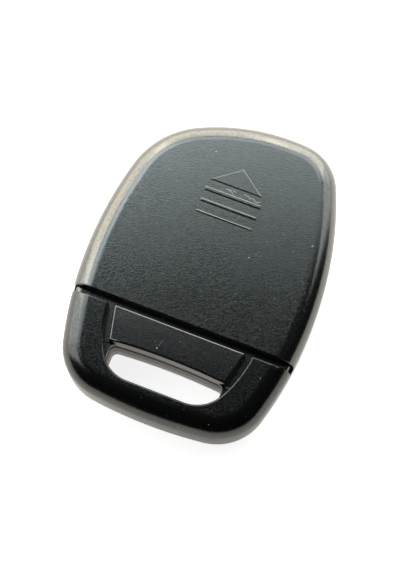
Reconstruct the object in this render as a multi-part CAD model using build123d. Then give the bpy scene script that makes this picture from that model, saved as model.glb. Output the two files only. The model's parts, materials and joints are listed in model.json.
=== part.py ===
from build123d import *
import os

os.makedirs("parts", exist_ok=True)

# A car key fob in millimetres. It lies on its button side with its back up.
# +Z points out of the back, +Y is the way the battery cover slides off, and the
# origin is on the resting face, under the middle of the outline.

# Body
HEIGHT = 10.6
PARTING_Z = 6.1
BACK_ROUNDING = 3.5
FRONT_ROUNDING = 2.6
FRONT_WALL = 1.3
SIDE_WALL = 1.6
FIT_GAP = 0.1

# Outline seen from the back: four bulged sides that meet in rounded corners
BOW_CORNER_X = 15.67
BOW_CORNER_Y = -25.36
HEAD_RIGHT_CORNER = (13.56, 25.96)
HEAD_LEFT_CORNER = (-16.59, 19.36)
BOW_BULGE = 1.56
RIGHT_BULGE = 5.36
HEAD_BULGE = 3.51
LEFT_BULGE = 3.88
BOW_CORNER_RADIUS = 9.2
HEAD_RIGHT_RADIUS = 8.5
HEAD_LEFT_RADIUS = 15.0

# Groove between the battery cover and the key ring end, and the ledge in it
GROOVE_Y = -10.2
GROOVE_WIDTH = 1.25
LEDGE_DEPTH = 2.2
LEDGE_INSET = 0.6
LEDGE_END_ROUNDING = 1.0

# Battery cover
COVER_THICKNESS = 1.2
COVER_WALL = 1.6
COVER_RAIL_GRIP = 0.75
COVER_RAIL_HEIGHT = 0.85
COVER_RAIL_LENGTH = 13.0
COVER_EDGE_RADIUS = 0.15
COVER_NARROW_END = 1.0

# Raised arrow on the cover: a triangle and three bars that get thinner
EMBOSS_HEIGHT = 0.2
ARROW_TIP_Y = 17.89
ARROW_BASE_Y = 14.31
ARROW_HALF_WIDTH = 4.75
BAR_LENGTH = 10.0
BAR_TOP_Y = 12.97
BAR_PITCH = 2.2
BAR_WIDTHS = (0.74, 0.6, 0.36)

# Tongue between the cover and the key ring window
TONGUE_SIDE_GAP = 1.1
TONGUE_LOW_HALF_WIDTH = 10.1
TONGUE_LOW_Y = -17.35
TONGUE_LOW_RISE = 0.45

# Key ring bow and the window that it frames
BOW_OPENING_TOP_HALF_WIDTH = 12.6
BOW_OPENING_LOW_HALF_WIDTH = 8.15
BOW_OPENING_LOW_Y = -22.5
BOW_OPENING_BULGE = 0.88
BOW_OPENING_RADIUS = 5.9
BOW_SKIRT = 1.1
WINDOW_HALF_WIDTH = 9.84
WINDOW_CORNER_RADIUS = 1.0
WINDOW_WALL = 1.3
WINDOW_FRONT_ROUNDING = 0.9
WINDOW_SEAM_DEPTH = 0.5
WINDOW_SEAM_HEIGHT = 0.7

# Rear frame
FRAME_RIM_DEPTH = 1.2
FRAME_RIM_WALL = 1.0
FRAME_PLATE = 1.2

# Coin cells, one on the other
CELL_RADIUS = 10.0
CELL_THICKNESS = 1.6
CELL_CAP_RADIUS = 8.7
CELL_RIM = 0.2
CELL_COUNT = 2
CELL_CENTRE_Y = 5.5
CELL_SIDE_GAP = 0.2
CUP_WALL = 1.1
CUP_FLOOR = 0.7
CELL_TOP_GAP = 0.15

# Battery contacts
CONTACT_SHEET = 0.2
CONTACT_WIDTH = 4.0
NEGATIVE_LEAF_LENGTH = 11.0
POSITIVE_FOOT_LENGTH = 2.0
CONTACT_SLOT_GAP = 0.2
CONTACT_TOUCH_GAP = 0.03
BUMP_DROP = 0.96
BUMP_SLOPE = 0.6

# Circuit board
BOARD_THICKNESS = 0.8
BOARD_UNDER_CUP_GAP = 0.15
BOARD_EDGE_INSET = 3.2
BOARD_WINDOW_GAP = 0.6
SUPPORT_RADIUS = 1.1
SUPPORT_PLACES = ((-12.2, 12.6), (12.8, 13.2), (-11.0, -12.2), (11.0, -12.2))

# Case screws and the bosses that they pull together
SCREW_PLACES = ((-14.3, -6.9), (14.3, -6.9), (3.0, 20.7))
SCREW_SHANK_RADIUS = 0.75
SCREW_HEAD_RADIUS = 1.35
SCREW_HEAD_HEIGHT = 0.8
SCREW_LENGTH = 4.6
SCREW_TIP_CHAMFER = 0.375
SCREW_SLOT_LENGTH = 1.62
SCREW_SLOT_WIDTH = 0.35
SCREW_SLOT_DEPTH = 0.4
SCREW_PILOT_GAP = 0.02
BOSS_RADIUS = 1.9
BOSS_BOARD_GAP = 0.3
BOSS_TOP_Z = 5.3

# Button on the front, its rubber pad and the switch behind it
BUTTON_Y = 7.0
BUTTON_WIDTH = 14.0
BUTTON_LENGTH = 11.0
BUTTON_CORNER = 4.8
BUTTON_GAP = 0.2
BUTTON_RECESS = 0.4
BUTTON_FLANGE = 0.8
BUTTON_FLANGE_HEIGHT = 0.4
BUTTON_EDGE_RADIUS = 0.25
DISH_MARGIN = 3.0
DISH_DEPTH = 0.3
COLLAR_GAP = 0.3
COLLAR_WALL = 1.0
PAD_THICKNESS = 0.3
RUNNING_GAP = 0.05
SWITCH_SIZE = 4.5
SWITCH_HEIGHT = 1.6
SWITCH_CHAMFER = 0.375
PLUNGER_RADIUS = 0.9
PLUNGER_WELL = 1.1
PLUNGER_CHAMFER = 0.15

# Signal light
LED_Y = -7.0
LED_RADIUS = 0.9
LED_HEIGHT = 2.1
LED_TIP_RADIUS = 0.72
LENS_RADIUS = 1.2
LENS_FLANGE = 0.6
LENS_FLANGE_HEIGHT = 0.4
LENS_RECESS = 0.15

# Parts on the board's front side
TRANSPONDER_PLACE = (-11.6, 1.4)
TRANSPONDER_SIZE = (3.9, 8.6, 1.4)
TRANSPONDER_LEGS = 7
CONTROLLER_PLACE = (12.2, 3.4)
CONTROLLER_SIZE = (3.9, 4.9, 1.4)
CONTROLLER_LEGS = 4
CHIP_CHAMFER = 0.175
LEG_PITCH = 1.27
LEG_WIDTH = 0.4
LEG_REACH = 0.9
LEG_SHEET = 0.2
RESONATOR_PLACE = (11.0, 9.4)
RESONATOR_RADIUS = 1.3
RESONATOR_HEIGHT = 1.3
RESONATOR_EDGE_RADIUS = 0.26
COIL_PLACE = (0.0, -12.2)
COIL_LENGTH = 11.0
COIL_CORE_WIDTH = 1.8
COIL_CORE_HEIGHT = 1.4
COIL_FLANGE = 1.2
COIL_FLANGE_MARGIN = 0.45
COIL_WIRE = 0.35
CHIP_SIZE = (1.6, 0.8, 0.45)
CHIP_PLACES = (
    (-5.2, -6.4), (-5.2, -4.6), (-5.2, -2.8), (5.2, -6.4), (5.2, -4.6), (5.2, -2.8),
    (-2.4, 18.2), (0.0, 18.2), (-4.8, 18.2), (-7.2, 17.4),
)

# Levels that follow from the values above
CELL_STACK = CELL_COUNT * CELL_THICKNESS
COVER_UNDERSIDE_Z = HEIGHT - COVER_THICKNESS
CELL_TOP_Z = COVER_UNDERSIDE_Z - CELL_TOP_GAP
CELL_BASE_Z = CELL_TOP_Z - CELL_STACK
CUP_FLOOR_Z = CELL_BASE_Z - CONTACT_SHEET
CUP_BASE_Z = CUP_FLOOR_Z - CUP_FLOOR
CUP_RADIUS = CELL_RADIUS + CELL_SIDE_GAP
BOARD_TOP_Z = CUP_BASE_Z - BOARD_UNDER_CUP_GAP
BOARD_Z = BOARD_TOP_Z - BOARD_THICKNESS
LEDGE_Z = HEIGHT - LEDGE_DEPTH
BOW_TOP_Y = GROOVE_Y - GROOVE_WIDTH
COVER_BASE_Z = PARTING_Z + FIT_GAP
RAIL_TOP_Z = COVER_BASE_Z + COVER_RAIL_HEIGHT
FLANGE_BASE_Z = RAIL_TOP_Z + FIT_GAP
FLANGE_Z = FRONT_WALL + RUNNING_GAP
FLANGE_TOP_Z = FLANGE_Z + BUTTON_FLANGE_HEIGHT
PAD_Z = FLANGE_TOP_Z + RUNNING_GAP
SWITCH_Z = BOARD_Z - SWITCH_HEIGHT
PLUNGER_TIP_Z = PAD_Z + PAD_THICKNESS
SCREW_SEAT_Z = LEDGE_Z - SCREW_HEAD_HEIGHT - 2 * FIT_GAP
TONGUE_TOP_HALF_WIDTH = BOW_OPENING_TOP_HALF_WIDTH - TONGUE_SIDE_GAP
WINDOW_TOP_Y = TONGUE_LOW_Y + TONGUE_LOW_RISE
BOARD_LOW_Y = WINDOW_TOP_Y + WINDOW_WALL + BOARD_WINDOW_GAP
FAR = 2 * abs(BOW_CORNER_Y)
SHORTEST_EDGE = 0.0001


def bulged_arc(start, end, bulge):
    """Arc from start to end that bulges to the right of its travel."""
    start, end = Vector(*start), Vector(*end)
    chord = end - start
    outward = Vector(chord.Y, -chord.X).normalized()
    return ThreePointArc(start, (start + end) / 2 + outward * bulge, end)


def round_corner(face, corner, radius):
    """Rounds the corner of a face that lies nearest to a point."""
    return fillet(face.vertices().sort_by_distance(corner)[0], radius)


def grow(face, margin):
    """A face of lines and arcs grown by a margin, or drawn in by a negative one.

    Where two sides run into each other smoothly the offset leaves a seam of no length. It is left
    out, and each side is drawn from the very end of the side before it.
    """
    if not margin:
        return face
    ordered = offset(face, amount=margin).faces()[0].outer_wire().order_edges()
    sides = [side for side in ordered if side.length > SHORTEST_EDGE]
    edges = []
    for before, side in zip([sides[-1], *sides], sides):
        if side.geom_type == GeomType.LINE:
            edges.append(Line(before @ 1, side @ 1))
        else:
            edges.append(ThreePointArc(before @ 1, side @ 0.5, side @ 1))
    return make_face(edges)


def outline(inset=0.0):
    """The body's outline as a face, drawn in by an inset."""
    corners = (
        (-BOW_CORNER_X, BOW_CORNER_Y), (BOW_CORNER_X, BOW_CORNER_Y), HEAD_RIGHT_CORNER, HEAD_LEFT_CORNER,
    )
    bulges = (BOW_BULGE, RIGHT_BULGE, HEAD_BULGE, LEFT_BULGE)
    radii = (BOW_CORNER_RADIUS, BOW_CORNER_RADIUS, HEAD_RIGHT_RADIUS, HEAD_LEFT_RADIUS)
    sides = [bulged_arc(corners[i], corners[(i + 1) % 4], bulges[i]) for i in range(4)]
    face = make_face(sides)
    for corner, radius in zip(corners, radii):
        face = round_corner(face, corner, radius)
    return grow(face, -inset)


def slab(face, low_z, high_z):
    """A face raised into a solid between two heights."""
    return extrude(Pos(0, 0, low_z) * face, high_z - low_z, dir=(0, 0, 1))


def band(low_y, high_y, half_width=FAR):
    """A rectangle across the body between two places along it."""
    return Pos(0, (low_y + high_y) / 2) * Rectangle(2 * half_width, high_y - low_y)


def envelope():
    """The whole rounded body with nothing taken out."""
    body = slab(outline(), 0, HEIGHT)
    body = fillet(body.faces().sort_by(Axis.Z)[-1].edges(), BACK_ROUNDING)
    return fillet(body.faces().sort_by(Axis.Z)[0].edges(), FRONT_ROUNDING)


def bow_opening():
    """The space inside the key ring bow, open towards the cover."""
    top_y = BOW_TOP_Y + FIT_GAP
    top_left = (-BOW_OPENING_TOP_HALF_WIDTH, top_y)
    top_right = (BOW_OPENING_TOP_HALF_WIDTH, top_y)
    low_left = (-BOW_OPENING_LOW_HALF_WIDTH, BOW_OPENING_LOW_Y)
    low_right = (BOW_OPENING_LOW_HALF_WIDTH, BOW_OPENING_LOW_Y)
    sides = [
        Line(top_right, top_left),
        bulged_arc(top_left, low_left, BOW_OPENING_BULGE),
        Line(low_left, low_right),
        bulged_arc(low_right, top_right, BOW_OPENING_BULGE),
    ]
    face = make_face(sides)
    for corner in (low_left, low_right):
        face = round_corner(face, corner, BOW_OPENING_RADIUS)
    return face


def tongue_low_edge():
    """The bowed lower edge of the tongue, which is also the window's upper edge."""
    right = (TONGUE_LOW_HALF_WIDTH, TONGUE_LOW_Y)
    left = (-TONGUE_LOW_HALF_WIDTH, TONGUE_LOW_Y)
    return bulged_arc(right, left, TONGUE_LOW_RISE)


def window(margin=0.0):
    """The key ring window that runs through the frame and the front shell."""
    below = Polyline(
        (-TONGUE_LOW_HALF_WIDTH, TONGUE_LOW_Y), (-TONGUE_LOW_HALF_WIDTH, -FAR),
        (TONGUE_LOW_HALF_WIDTH, -FAR), (TONGUE_LOW_HALF_WIDTH, TONGUE_LOW_Y),
    )
    face = make_face([tongue_low_edge(), below]) & bow_opening() & band(-FAR, FAR, WINDOW_HALF_WIDTH)
    for corner_y in (TONGUE_LOW_Y, BOW_OPENING_LOW_Y):
        for side in (-1, 1):
            face = round_corner(face, (side * WINDOW_HALF_WIDTH, corner_y), WINDOW_CORNER_RADIUS)
    return grow(face, margin)


def tongue():
    """The panel between the cover and the window, level with both."""
    above = Polyline(
        (-TONGUE_LOW_HALF_WIDTH, TONGUE_LOW_Y), (-TONGUE_TOP_HALF_WIDTH, BOW_TOP_Y),
        (TONGUE_TOP_HALF_WIDTH, BOW_TOP_Y), (TONGUE_LOW_HALF_WIDTH, TONGUE_LOW_Y),
    )
    return make_face([tongue_low_edge(), above])


def cover_hollow_half_width():
    """Half the straight width inside the cover, set by its narrow end at the groove."""
    cut = outline(COVER_WALL) & band(GROOVE_Y, GROOVE_Y + COVER_NARROW_END)
    box = cut.bounding_box()
    return min(-box.min.X, box.max.X) - SIDE_WALL / 2


HOLLOW_HALF_WIDTH = cover_hollow_half_width()
RAIL_HALF_WIDTH = HOLLOW_HALF_WIDTH - COVER_RAIL_GRIP
BODY = envelope()


def arrow():
    """The sliding arrow as flat faces: a triangle and three bars."""
    triangle = make_face(Polyline(
        (-ARROW_HALF_WIDTH, ARROW_BASE_Y), (ARROW_HALF_WIDTH, ARROW_BASE_Y), (0, ARROW_TIP_Y), close=True,
    ))
    shapes = [triangle]
    for count, width in enumerate(BAR_WIDTHS):
        top_y = BAR_TOP_Y - count * BAR_PITCH
        shapes.append(Pos(0, top_y - width / 2) * Rectangle(BAR_LENGTH, width))
    return shapes


def make_battery_cover():
    """The sliding cover over the cells, with its rails and the raised arrow."""
    cover = BODY & slab(band(GROOVE_Y, FAR), COVER_BASE_Z, HEIGHT)
    hollow = outline(COVER_WALL) & band(-FAR, FAR, HOLLOW_HALF_WIDTH)
    cover -= slab(hollow, COVER_BASE_Z, COVER_UNDERSIDE_Z)
    rail_middle_x = HOLLOW_HALF_WIDTH - COVER_RAIL_GRIP / 2
    for side in (-1, 1):
        rail = Pos(side * rail_middle_x, GROOVE_Y + COVER_RAIL_LENGTH / 2) * Rectangle(
            COVER_RAIL_GRIP, COVER_RAIL_LENGTH)
        cover += slab(rail, COVER_BASE_Z, RAIL_TOP_Z)
    edge = cover.faces().filter_by(Axis.Y).sort_by(Axis.Y)[0].edges().filter_by(Axis.X).sort_by(Axis.Z)[-1]
    cover = fillet(edge, COVER_EDGE_RADIUS)
    for shape in arrow():
        cover += slab(shape, HEIGHT, HEIGHT + EMBOSS_HEIGHT)
    return cover


def frame_plan(inset, half_width):
    """Plan of the frame under the cover, from the groove to the head."""
    return outline(inset) & band(GROOVE_Y - FIT_GAP, FAR, half_width)


def screw_columns(radius, low_z, high_z):
    """A round column at each screw."""
    return [slab(Pos(*place) * Circle(radius), low_z, high_z) for place in SCREW_PLACES]


def support_columns(low_z, high_z):
    """A round column at each place where the board is held."""
    return [slab(Pos(*place) * Circle(SUPPORT_RADIUS), low_z, high_z) for place in SUPPORT_PLACES]


def cell_column(radius, low_z, high_z):
    """A disc or column on the axis of the cells."""
    return slab(Pos(0, CELL_CENTRE_Y) * Circle(radius), low_z, high_z)


def negative_slot(gap=0.0):
    """Where the negative contact's tab goes down through the cup's floor."""
    return Pos(-NEGATIVE_LEAF_LENGTH / 2 + CONTACT_SHEET / 2, CELL_CENTRE_Y) * Rectangle(
        CONTACT_SHEET + 2 * gap, CONTACT_WIDTH + 2 * gap)


def positive_strip_x():
    """Inner face of the positive contact's upright strip."""
    return CUP_RADIUS + FIT_GAP


def ledge():
    """The ledge across the groove, with its two ends rounded like the back."""
    bar = slab(outline(LEDGE_INSET) & band(BOW_TOP_Y, GROOVE_Y - FIT_GAP), PARTING_Z, LEDGE_Z)
    ends = bar.faces().sort_by(Axis.Z)[-1].edges().sort_by(Axis.X)
    return fillet([ends[0], ends[-1]], LEDGE_END_ROUNDING)


def make_rear_frame():
    """The carrier behind the board: cell cup, ledge, tongue and the rails' flanges.

    A shadow groove runs round the window where the frame stands on the front shell.
    """
    under_cover_inset = COVER_WALL + FIT_GAP
    frame = slab(frame_plan(under_cover_inset, HOLLOW_HALF_WIDTH - FIT_GAP), FLANGE_BASE_Z, LEDGE_Z)
    frame += slab(frame_plan(under_cover_inset, RAIL_HALF_WIDTH - FIT_GAP), PARTING_Z, FLANGE_BASE_Z)
    frame += ledge()
    frame += slab(outline(BOW_SKIRT + FIT_GAP) & band(-FAR, BOW_TOP_Y), PARTING_Z, LEDGE_Z)
    frame += slab(tongue(), LEDGE_Z, HEIGHT)
    rim_outside = outline(SIDE_WALL + FIT_GAP) & band(GROOVE_Y, FAR)
    rim_inside = outline(SIDE_WALL + FIT_GAP + FRAME_RIM_WALL) & band(BOW_TOP_Y, FAR)
    frame += slab(rim_outside - rim_inside, PARTING_Z - FRAME_RIM_DEPTH, PARTING_Z)
    core = outline(SIDE_WALL + FIT_GAP + FRAME_RIM_WALL) & band(
        BOARD_LOW_Y - BOARD_WINDOW_GAP, FAR, RAIL_HALF_WIDTH - FIT_GAP - FRAME_RIM_WALL)
    frame -= slab(core, PARTING_Z, LEDGE_Z - FRAME_PLATE)
    frame += cell_column(CUP_RADIUS + CUP_WALL, CUP_BASE_Z, CELL_TOP_Z - FIT_GAP)
    frame -= cell_column(CUP_RADIUS, CUP_FLOOR_Z, HEIGHT)
    for column in screw_columns(BOSS_RADIUS, BOSS_TOP_Z, LEDGE_Z) + support_columns(BOARD_TOP_Z, LEDGE_Z):
        frame += column
    upstand = band(GROOVE_Y + FIT_GAP, GROOVE_Y + FIT_GAP + FRAME_RIM_WALL, HOLLOW_HALF_WIDTH - FIT_GAP)
    frame += slab(upstand, LEDGE_Z - FRAME_PLATE, COVER_UNDERSIDE_Z - FIT_GAP)
    for column in screw_columns(SCREW_SHANK_RADIUS + FIT_GAP, BOSS_TOP_Z, HEIGHT):
        frame -= column
    for column in screw_columns(SCREW_HEAD_RADIUS + FIT_GAP, SCREW_SEAT_Z, HEIGHT):
        frame -= column
    frame -= slab(negative_slot(CONTACT_SLOT_GAP), CUP_BASE_Z, CUP_FLOOR_Z)
    notch_length = CUP_WALL + CELL_SIDE_GAP + POSITIVE_FOOT_LENGTH
    notch = Pos(CELL_RADIUS + notch_length / 2, CELL_CENTRE_Y) * Rectangle(
        notch_length, CONTACT_WIDTH + 2 * CONTACT_SLOT_GAP)
    frame -= slab(notch, CUP_BASE_Z, HEIGHT)
    frame -= slab(window(), 0, HEIGHT)
    frame -= slab(window(WINDOW_SEAM_DEPTH), PARTING_Z, PARTING_Z + WINDOW_SEAM_HEIGHT)
    return frame


def make_key_ring_bow():
    """The U-shaped cap that closes the key ring end round the window."""
    bow = BODY & slab(band(-FAR, BOW_TOP_Y), COVER_BASE_Z, HEIGHT)
    bow -= slab(bow_opening(), 0, HEIGHT)
    bow -= slab(outline(BOW_SKIRT) & band(-FAR, BOW_TOP_Y), COVER_BASE_Z, LEDGE_Z)
    return bow


def button_plan(margin):
    """The button's rounded shape, grown by a margin."""
    return Pos(0, BUTTON_Y) * RectangleRounded(
        BUTTON_WIDTH + 2 * margin, BUTTON_LENGTH + 2 * margin, BUTTON_CORNER + margin)


def make_front_shell():
    """The button side: face, side walls, window walls, bosses and the board's supports."""
    shell = BODY & slab(band(-FAR, FAR), 0, PARTING_Z)
    shell -= slab(outline(SIDE_WALL) - window(WINDOW_WALL), FRONT_WALL, PARTING_Z)
    shell -= slab(window(), 0, PARTING_Z)
    rim = shell.faces().sort_by(Axis.Z)[0].inner_wires()[0].edges()
    shell = fillet(rim, WINDOW_FRONT_ROUNDING)
    collar_inside = BUTTON_GAP + BUTTON_FLANGE + COLLAR_GAP
    collar = button_plan(collar_inside + COLLAR_WALL) - button_plan(collar_inside)
    shell += slab(collar, FRONT_WALL, PAD_Z)
    for column in screw_columns(BOSS_RADIUS, FRONT_WALL, BOSS_TOP_Z) + support_columns(FRONT_WALL, BOARD_Z):
        shell += column
    for column in screw_columns(SCREW_SHANK_RADIUS + SCREW_PILOT_GAP, FRONT_WALL, BOSS_TOP_Z):
        shell -= column
    shell -= slab(button_plan(DISH_MARGIN), 0, DISH_DEPTH)
    shell -= slab(button_plan(BUTTON_GAP), 0, FRONT_WALL)
    shell -= slab(Pos(0, LED_Y) * Circle(LENS_RADIUS + RUNNING_GAP), 0, FRONT_WALL)
    return shell


def make_button_cap():
    """The button: a cap that stands in the front opening, held by its flange."""
    cap = slab(button_plan(0), BUTTON_RECESS, FLANGE_TOP_Z)
    cap = fillet(cap.faces().sort_by(Axis.Z)[0].edges(), BUTTON_EDGE_RADIUS)
    return cap + slab(button_plan(BUTTON_FLANGE + BUTTON_GAP), FLANGE_Z, FLANGE_TOP_Z)


def make_button_pad():
    """The rubber pad that seals the button opening from inside."""
    reach = BUTTON_GAP + BUTTON_FLANGE + COLLAR_GAP + COLLAR_WALL
    return slab(button_plan(reach), PAD_Z, PAD_Z + PAD_THICKNESS)


def make_circuit_board():
    """The board, cut out round the screw bosses and the contact's foot."""
    board = slab(outline(BOARD_EDGE_INSET) & band(BOARD_LOW_Y, FAR), BOARD_Z, BOARD_TOP_Z)
    for column in screw_columns(BOSS_RADIUS + BOSS_BOARD_GAP, BOARD_Z, BOARD_TOP_Z):
        board -= column
    return board


def make_switch_body():
    """The switch under the board, with a well for its plunger."""
    place = Pos(0, BUTTON_Y)
    body = slab(place * Rectangle(SWITCH_SIZE, SWITCH_SIZE), SWITCH_Z, BOARD_Z)
    body = chamfer(body.edges().filter_by(Axis.Z), SWITCH_CHAMFER)
    return body - slab(place * Circle(PLUNGER_RADIUS + RUNNING_GAP), SWITCH_Z, SWITCH_Z + PLUNGER_WELL)


def make_switch_plunger():
    """The plunger that the button pushes into the switch."""
    plunger = slab(Pos(0, BUTTON_Y) * Circle(PLUNGER_RADIUS), PLUNGER_TIP_Z, SWITCH_Z + PLUNGER_WELL / 2)
    return chamfer(plunger.faces().sort_by(Axis.Z)[0].edges(), PLUNGER_CHAMFER)


def make_cell(level):
    """A coin cell: a wide can, open at its base where the smaller cap shows."""
    base_z = CELL_BASE_Z + level * CELL_THICKNESS
    can = cell_column(CELL_RADIUS, base_z + CELL_RIM, base_z + CELL_THICKNESS)
    can = fillet(can.faces().sort_by(Axis.Z)[-1].edges(), CELL_RIM)
    can = chamfer(can.faces().sort_by(Axis.Z)[0].edges(), CELL_RIM)
    return can + cell_column(CELL_CAP_RADIUS, base_z, base_z + CELL_THICKNESS / 2)


def make_negative_contact():
    """A leaf under the lower cell with a tab down to the board."""
    leaf = Pos(0, CELL_CENTRE_Y) * Rectangle(NEGATIVE_LEAF_LENGTH, CONTACT_WIDTH)
    contact = slab(leaf, CUP_FLOOR_Z, CELL_BASE_Z)
    return contact + slab(negative_slot(), BOARD_TOP_Z, CELL_BASE_Z)


def make_positive_contact():
    """An upright strip beside the cells, with a pressed bump and a foot on the board."""
    inner_x = positive_strip_x()
    strip = Pos(inner_x + CONTACT_SHEET / 2, CELL_CENTRE_Y) * Rectangle(CONTACT_SHEET, CONTACT_WIDTH)
    contact = slab(strip, BOARD_TOP_Z, CELL_TOP_Z - FIT_GAP)
    foot_middle = Pos(inner_x + POSITIVE_FOOT_LENGTH / 2, CELL_CENTRE_Y)
    foot = foot_middle * Rectangle(POSITIVE_FOOT_LENGTH, CONTACT_WIDTH)
    contact += slab(foot, BOARD_TOP_Z, BOARD_TOP_Z + CONTACT_SHEET)
    reach = inner_x - CELL_RADIUS - CONTACT_TOUCH_GAP
    bump = Box(2 * reach, CONTACT_WIDTH / 2, CELL_THICKNESS)
    bump = chamfer(bump.edges().filter_by(Axis.Z), reach * BUMP_SLOPE)
    return contact + Pos(inner_x, CELL_CENTRE_Y, CELL_TOP_Z - BUMP_DROP) * bump


def make_led():
    """The signal light: a round body with a domed tip that points at the lens."""
    tip_z = BOARD_Z - LED_HEIGHT
    led = slab(Pos(0, LED_Y) * Circle(LED_RADIUS), tip_z, BOARD_Z)
    return fillet(led.faces().sort_by(Axis.Z)[0].edges(), LED_TIP_RADIUS)


def make_led_lens():
    """The lens in the front wall, held by a flange inside."""
    place = Pos(0, LED_Y)
    flange_top_z = FRONT_WALL + LENS_FLANGE_HEIGHT
    lens = slab(place * Circle(LENS_RADIUS), LENS_RECESS, flange_top_z)
    return lens + slab(place * Circle(LENS_RADIUS + LENS_FLANGE), FRONT_WALL, flange_top_z)


def make_chip(place, size, legs_per_side):
    """A moulded chip under the board, with legs along its two long sides."""
    width, length, height = size
    chip = slab(Pos(*place) * Rectangle(width, length), BOARD_Z - height, BOARD_Z - LEG_SHEET)
    chip = chamfer(chip.faces().sort_by(Axis.Z)[0].edges(), CHIP_CHAMFER)
    for side in (-1, 1):
        for count in range(legs_per_side):
            leg_y = place[1] + (count - (legs_per_side - 1) / 2) * LEG_PITCH
            leg_x = place[0] + side * (width + LEG_REACH) / 2
            foot = Pos(leg_x, leg_y) * Rectangle(LEG_REACH, LEG_WIDTH)
            chip += slab(foot, BOARD_Z - LEG_SHEET, BOARD_Z)
            shoulder = Pos(place[0] + side * (width + LEG_SHEET) / 2, leg_y) * Rectangle(LEG_SHEET, LEG_WIDTH)
            chip += slab(shoulder, BOARD_Z - height / 2, BOARD_Z - LEG_SHEET)
    return chip


def make_resonator():
    """A round metal can with a brim."""
    place = Pos(*RESONATOR_PLACE)
    can = slab(place * Circle(RESONATOR_RADIUS), BOARD_Z - RESONATOR_HEIGHT, BOARD_Z)
    can = fillet(can.faces().sort_by(Axis.Z)[0].edges(), RESONATOR_EDGE_RADIUS)
    return can + slab(place * Circle(RESONATOR_RADIUS + LEG_WIDTH / 2), BOARD_Z - LEG_SHEET, BOARD_Z)


def coil_middle():
    """Centre of the coil's core below the board."""
    return Pos(COIL_PLACE[0], COIL_PLACE[1], BOARD_Z - COIL_CORE_HEIGHT / 2 - COIL_FLANGE_MARGIN)


def coil_bobbin(margin, length):
    """A bar along the coil's axis that stands out of the core by a margin."""
    return coil_middle() * Box(length, COIL_CORE_WIDTH + 2 * margin, COIL_CORE_HEIGHT + 2 * margin)


def make_coil_core():
    """The ferrite core with a flange at each end."""
    core = coil_bobbin(0, COIL_LENGTH)
    for side in (-1, 1):
        flange = coil_bobbin(COIL_FLANGE_MARGIN, COIL_FLANGE)
        core += Pos(side * (COIL_LENGTH - COIL_FLANGE) / 2, 0, 0) * flange
    return core


def make_coil_winding():
    """The copper winding as one sleeve round the core."""
    sleeve = coil_bobbin(COIL_WIRE, COIL_LENGTH - 2 * COIL_FLANGE)
    sleeve = fillet(sleeve.edges().filter_by(Axis.X), COIL_WIRE)
    return sleeve - coil_bobbin(0, COIL_LENGTH)


def make_chip_parts():
    """Small two-ended parts, each a solid of its own."""
    length, width, height = CHIP_SIZE
    return [
        slab(Pos(*place) * Rectangle(length, width), BOARD_Z - height, BOARD_Z) for place in CHIP_PLACES
    ]


def make_case_screws():
    """The pan-head screws that pull the frame to the front shell."""
    screws = []
    for place in SCREW_PLACES:
        head_top_z = SCREW_SEAT_Z + SCREW_HEAD_HEIGHT
        head = slab(Pos(*place) * Circle(SCREW_HEAD_RADIUS), SCREW_SEAT_Z, head_top_z)
        head = fillet(head.faces().sort_by(Axis.Z)[-1].edges(), SCREW_HEAD_HEIGHT / 2)
        for turn in (0, 90):
            slot = Rectangle(SCREW_SLOT_LENGTH, SCREW_SLOT_WIDTH)
            head -= slab(Pos(*place) * Rot(0, 0, turn) * slot, head_top_z - SCREW_SLOT_DEPTH, head_top_z)
        shank = slab(Pos(*place) * Circle(SCREW_SHANK_RADIUS), SCREW_SEAT_Z - SCREW_LENGTH, SCREW_SEAT_Z)
        shank = chamfer(shank.faces().sort_by(Axis.Z)[0].edges(), SCREW_TIP_CHAMFER)
        screws.append(head + shank)
    return screws


PARTS = {
    "front_shell": make_front_shell(),
    "rear_frame": make_rear_frame(),
    "key_ring_bow": make_key_ring_bow(),
    "battery_cover": make_battery_cover(),
    "button_cap": make_button_cap(),
    "button_pad": make_button_pad(),
    "circuit_board": make_circuit_board(),
    "switch_body": make_switch_body(),
    "switch_plunger": make_switch_plunger(),
    "battery_lower": make_cell(0),
    "battery_upper": make_cell(1),
    "negative_contact": make_negative_contact(),
    "positive_contact": make_positive_contact(),
    "signal_led": make_led(),
    "led_lens": make_led_lens(),
    "transponder_chip": make_chip(TRANSPONDER_PLACE, TRANSPONDER_SIZE, TRANSPONDER_LEGS),
    "microcontroller": make_chip(CONTROLLER_PLACE, CONTROLLER_SIZE, CONTROLLER_LEGS),
    "resonator": make_resonator(),
    "coil_core": make_coil_core(),
    "coil_winding": make_coil_winding(),
    "chip_parts": Compound(children=make_chip_parts()),
    "case_screws": Compound(children=make_case_screws()),
}

for name, shape in PARTS.items():
    export_step(shape, f"parts/{name}.step")
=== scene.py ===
"""A car key fob lying on its button side: satin black shells, inner parts and a soft studio."""

import json
import logging
import math
from dataclasses import dataclass, field
from enum import Enum
from typing import Any

import bmesh
import bpy
from mathutils import Matrix, Vector

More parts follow.
